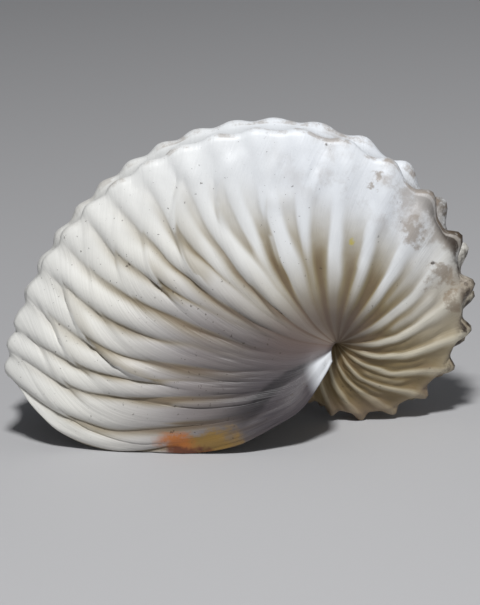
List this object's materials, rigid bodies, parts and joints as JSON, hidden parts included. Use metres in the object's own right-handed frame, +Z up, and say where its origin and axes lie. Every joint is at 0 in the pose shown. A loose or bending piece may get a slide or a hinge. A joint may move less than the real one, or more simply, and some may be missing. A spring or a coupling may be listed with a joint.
{
  "type": "paper nautilus shell",
  "caption": "Thin coiled sea shell with swept ribs, two rows of knobs along its flat keel and a wide open mouth underneath.",
  "frame": {"origin": "bottom centre of the bounding box, on the surface that the shell stands on", "axes": "+Z up, +X along the length from the lip end towards the coil, Y through the shell from flank to flank"},
  "size_m": [0.0858, 0.036, 0.0564],
  "materials": {
    "shell": "satin ivory-white shell, tan in the grooves"
  },
  "bodies": {
    "root": {"shell": "shell"}
  },
  "joints": []
}
